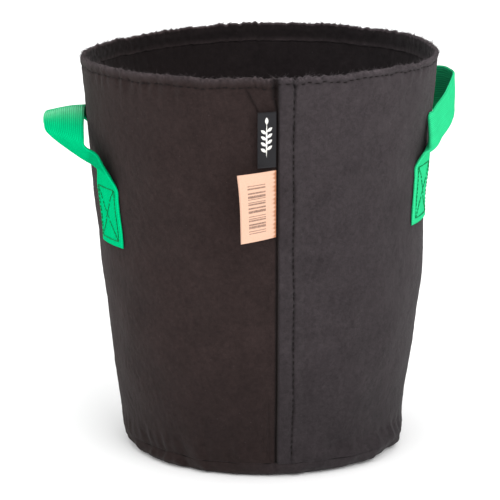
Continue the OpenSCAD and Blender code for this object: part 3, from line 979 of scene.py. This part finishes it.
def build_motif():
    """A plain sprig: a stem with paired leaves and one at its tip."""
    verts, faces = [], []
    origin, away, up, face = label_frame(WOVEN_Z, WOVEN_OPEN)
    steps, leaf_t = 12, 0.08

    def place(x, y, raise_by):
        lift = woven_curl(np.array(x), np.array(y)) + WOVEN_T / 2 + raise_by
        return origin + x * away + y * up + lift * face

    def leaf(x, y, angle, length, width):
        first = len(verts)
        ca, sa = math.cos(angle), math.sin(angle)
        verts.append(place(x + ca * length / 2, y + sa * length / 2, 0.14))
        for i in range(2 * steps):
            # out along one edge of the leaf, then back along the other
            s = i / steps
            f, side = (s, 1) if s <= 1 else (2 - s, -1)
            wide = side * width / 2 * math.sin(PI * f) ** 0.8
            verts.append(place(x + ca * length * f - sa * wide, y + sa * length * f + ca * wide, 0.03))
        for i in range(2 * steps):
            faces.append([first, first + 1 + i, first + 1 + (i + 1) % (2 * steps)])
        base = len(verts)
        for i in range(2 * steps):
            verts.append(verts[first + 1 + i] - face * leaf_t)
        for i in range(2 * steps):
            k = (i + 1) % (2 * steps)
            faces.append([first + 1 + i, base + i, base + k, first + 1 + k])
        faces.append([base + i for i in range(2 * steps)][::-1])

    stem_x = 5.3
    leaf(stem_x, -9.5, PI / 2, 19.0, 0.9)
    for y in (-6.5, -3.2, 0.1, 3.4):
        leaf(stem_x + 0.2, y, math.radians(38), 3.6, 1.7)
        leaf(stem_x - 0.2, y + 1.2, math.radians(142), 3.6, 1.7)
    leaf(stem_x, 8.4, PI / 2, 4.0, 1.8)
    return new_object("woven_label_sprig", np.array(verts), faces, [MOTIF])


# ---------------------------------------------------------------- build
wall = build_wall()
base = build_base()
for piece, node in ((wall, "side_wall"), (base, "base_panel")):
    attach(piece, "bag")
    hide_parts(node)

for name, side, route, low_z in (("left", -1, LEFT_ROUTE, LEFT_Z), ("right", 1, RIGHT_ROUTE, RIGHT_Z)):
    strap = build_strap(name + "_webbing", side, route, low_z)
    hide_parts(name + "_strap_front_end", name + "_strap_loop", name + "_strap_rear_end")
    # the strap bends in the first stretch above its sewn end
    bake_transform(strap)
    for end, rear in (("front", False), ("rear", True)):
        stitches = build_box_stitches(f"{name}_{end}_box_stitches", side, route, low_z, rear)
        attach(stitches, "bag")
        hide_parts(f"{name}_{end}_end_thread")

for piece, node in ((build_rim_stitches(), "rim_thread"), (build_side_stitches(), "side_seam_thread"),
                    (build_base_stitches(), "base_seam_thread")):
    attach(piece, "bag")
    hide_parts(node)

paper = build_paper()
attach(paper, "paper_label")
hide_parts("paper_label")
woven = build_woven()
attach(woven, "woven_label")
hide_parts("woven_label")
sprig = build_motif()
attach(sprig, "woven_label")

# ---------------------------------------------------------------- floor, light and camera
# places and sizes here are in metres
FLOOR_HALF, FLOOR_Z, FLOOR_GREY = 9.0, -0.0003, 0.97
ROOM_LIGHT = 1.27
AIM = (0, 0, 0.12)
KEY_PLACE, KEY_SIZE, KEY_WATTS = (1.0, -2.0, 1.5), 1.8, 30
FILL_PLACE, FILL_SIZE, FILL_WATTS = (-1.6, -1.3, 0.9), 1.6, 6
CAMERA_PLACE, CAMERA_AIM_DIR = (-0.0914, -1.2200, 0.4127), (0.0677, 0.9682, -0.2407)
CAMERA_ROLL_DEG, LENS_MM, SENSOR_MM = 0.555, 158.4, 36.0

floor_mesh = bpy.data.meshes.new("floor")
corners = [(x * FLOOR_HALF, y * FLOOR_HALF, FLOOR_Z) for x, y in ((-1, -1), (1, -1), (1, 1), (-1, 1))]
floor_mesh.from_pydata(corners, [], [(0, 1, 2, 3)])
floor = bpy.data.objects.new("floor", floor_mesh)
SCENE.collection.objects.link(floor)
pale = Nodes("pale_floor")
floor_mesh.materials.append(pale.finish((FLOOR_GREY,) * 3, 0.9, None, Specular_IOR_Level=0.0))

world = bpy.data.worlds.new("soft_room")
world.use_nodes = True
background = world.node_tree.nodes["Background"]
background.inputs["Color"].default_value = (1, 1, 1, 1)
background.inputs["Strength"].default_value = ROOM_LIGHT
SCENE.world = world


def softbox(name, place, aim, size, power):
    light = bpy.data.lights.new(name, "AREA")
    light.energy, light.size, light.shape = power, size, "SQUARE"
    obj = bpy.data.objects.new(name, light)
    obj.location = place
    obj.rotation_euler = (Vector(aim) - Vector(place)).to_track_quat("-Z", "Y").to_euler()
    SCENE.collection.objects.link(obj)


softbox("key", KEY_PLACE, AIM, KEY_SIZE, KEY_WATTS)
softbox("fill", FILL_PLACE, AIM, FILL_SIZE, FILL_WATTS)

camera_data = bpy.data.cameras.new("camera")
camera_data.lens, camera_data.sensor_width = LENS_MM, SENSOR_MM
camera_data.clip_end = 50
camera = bpy.data.objects.new("camera", camera_data)
SCENE.collection.objects.link(camera)
view_dir = Vector(CAMERA_AIM_DIR).normalized()
level_right = view_dir.cross(Vector((0, 0, 1))).normalized()
level_up = level_right.cross(view_dir)
roll = math.radians(CAMERA_ROLL_DEG)
camera_right = level_right * math.cos(roll) - level_up * math.sin(roll)
camera_up = level_right * math.sin(roll) + level_up * math.cos(roll)
turn = Matrix((camera_right, camera_up, -view_dir)).transposed()
camera.matrix_world = Matrix.Translation(CAMERA_PLACE) @ turn.to_4x4()
SCENE.camera = camera
SCENE.view_settings.view_transform = "Standard"

bpy.context.view_layer.update()
